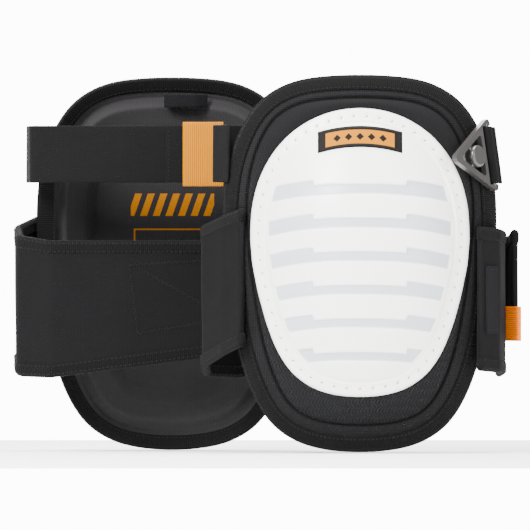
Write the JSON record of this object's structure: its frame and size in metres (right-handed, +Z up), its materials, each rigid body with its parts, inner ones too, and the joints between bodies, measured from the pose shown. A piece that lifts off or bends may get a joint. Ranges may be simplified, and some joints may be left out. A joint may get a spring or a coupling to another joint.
{
  "type": "knee pads",
  "caption": "Strapped knee pads with a domed hard cap, padded fabric shell, elastic upper strap with hook-over buckle, and a neoprene calf strap.",
  "frame": {"origin": "deepest point of the front pad's knee cup, where the kneecap rests", "axes": "+Z up, towards the thigh; +Y back towards the wearer's leg, out of the front pad's knee cup; +X across the knee, towards the buckles"},
  "size_m": [0.3378, 0.2534, 0.25],
  "materials": {
    "woven_shell": "matte",
    "foam": "matte",
    "gel": "satin",
    "liner_fabric": "matte",
    "grosgrain_binding": "matte",
    "cap_plastic": "satin",
    "badge_print": "satin",
    "elastic": "matte",
    "hook_tape": "matte",
    "tab_webbing": "matte",
    "buckle_plastic": "satin",
    "rivet_steel": "brushed",
    "neoprene": "matte",
    "webbing": "matte"
  },
  "bodies": {
    "front_pad": {"front_outer_shell": "woven_shell", "front_foam_core": "foam", "front_gel_insert": "gel", "front_ridge_foam": "foam", "front_knee_liner": "liner_fabric", "front_edge_binding": "grosgrain_binding", "front_cap": "cap_plastic", "front_cap_foam": "foam", "front_cap_badge": "badge_print", "front_upper_strap": "elastic", "front_strap_hem": "elastic", "front_strap_hook_patch": "hook_tape", "front_buckle_strap": "elastic", "front_stud_base": "buckle_plastic", "front_stud_knob": "buckle_plastic", "front_stud_rivets": "rivet_steel", "front_calf_strap": "neoprene", "front_calf_binding_upper": "grosgrain_binding", "front_calf_binding_lower": "grosgrain_binding", "front_calf_hook_panel": "hook_tape", "front_calf_wing": "neoprene", "front_webbing_patch": "webbing", "front_hang_loop": "webbing"},
    "front_strap_tab": {"front_strap_pull_tab": "tab_webbing"},
    "front_buckle_body": {"front_buckle": "buckle_plastic"},
    "front_calf_tab": {"front_calf_pull_loop": "tab_webbing"},
    "rear_pad": {"rear_outer_shell": "woven_shell", "rear_foam_core": "foam", "rear_gel_insert": "gel", "rear_ridge_foam": "foam", "rear_knee_liner": "liner_fabric", "rear_edge_binding": "grosgrain_binding", "rear_cap": "cap_plastic", "rear_cap_foam": "foam", "rear_cap_badge": "badge_print", "rear_upper_strap": "elastic", "rear_strap_hem": "elastic", "rear_strap_hook_patch": "hook_tape", "rear_buckle_strap": "elastic", "rear_stud_base": "buckle_plastic", "rear_stud_knob": "buckle_plastic", "rear_stud_rivets": "rivet_steel", "rear_calf_strap": "neoprene", "rear_calf_binding_upper": "grosgrain_binding", "rear_calf_binding_lower": "grosgrain_binding", "rear_calf_hook_panel": "hook_tape", "rear_calf_wing": "neoprene", "rear_webbing_patch": "webbing", "rear_hang_loop": "webbing"},
    "rear_strap_tab": {"rear_strap_pull_tab": "tab_webbing"},
    "rear_buckle_body": {"rear_buckle": "buckle_plastic"},
    "rear_calf_tab": {"rear_calf_pull_loop": "tab_webbing"}
  },
  "joints": [
    {"name": "rear_pad_lift", "type": "slide", "parent": "front_pad", "child": "rear_pad", "axis": [0, 0, 1], "range_m": [0, 0.3]},
    {"name": "front_buckle_swing", "type": "hinge", "parent": "front_pad", "child": "front_buckle_body", "pos_m": [0.08598, 0.0287, 0.06475], "axis": [-0.1388, 0.027, 0.99], "range_deg": [0, 110]},
    {"name": "front_strap_tab_lift", "type": "hinge", "parent": "front_pad", "child": "front_strap_tab", "pos_m": [0.00715, 0.0803, 0.066], "axis": [0, 0, 1], "range_deg": [0, 60], "stiffness_Nm_per_rad": 0.01},
    {"name": "front_calf_tab_lift", "type": "hinge", "parent": "front_pad", "child": "front_calf_tab", "pos_m": [0.09881, 0.05551, -0.047], "axis": [0, 0, 1], "range_deg": [0, 45], "stiffness_Nm_per_rad": 0.005},
    {"name": "rear_buckle_swing", "type": "hinge", "parent": "rear_pad", "child": "rear_buckle_body", "pos_m": [-0.03902, 0.1663, 0.06475], "axis": [0.1388, 0.027, -0.99], "range_deg": [0, 110]},
    {"name": "rear_strap_tab_lift", "type": "hinge", "parent": "rear_pad", "child": "rear_strap_tab", "pos_m": [-0.11785, 0.1147, 0.066], "axis": [0, 0, -1], "range_deg": [0, 60], "stiffness_Nm_per_rad": 0.01},
    {"name": "rear_calf_tab_lift", "type": "hinge", "parent": "rear_pad", "child": "rear_calf_tab", "pos_m": [-0.02619, 0.13949, -0.047], "axis": [0, 0, -1], "range_deg": [0, 45], "stiffness_Nm_per_rad": 0.005}
  ]
}
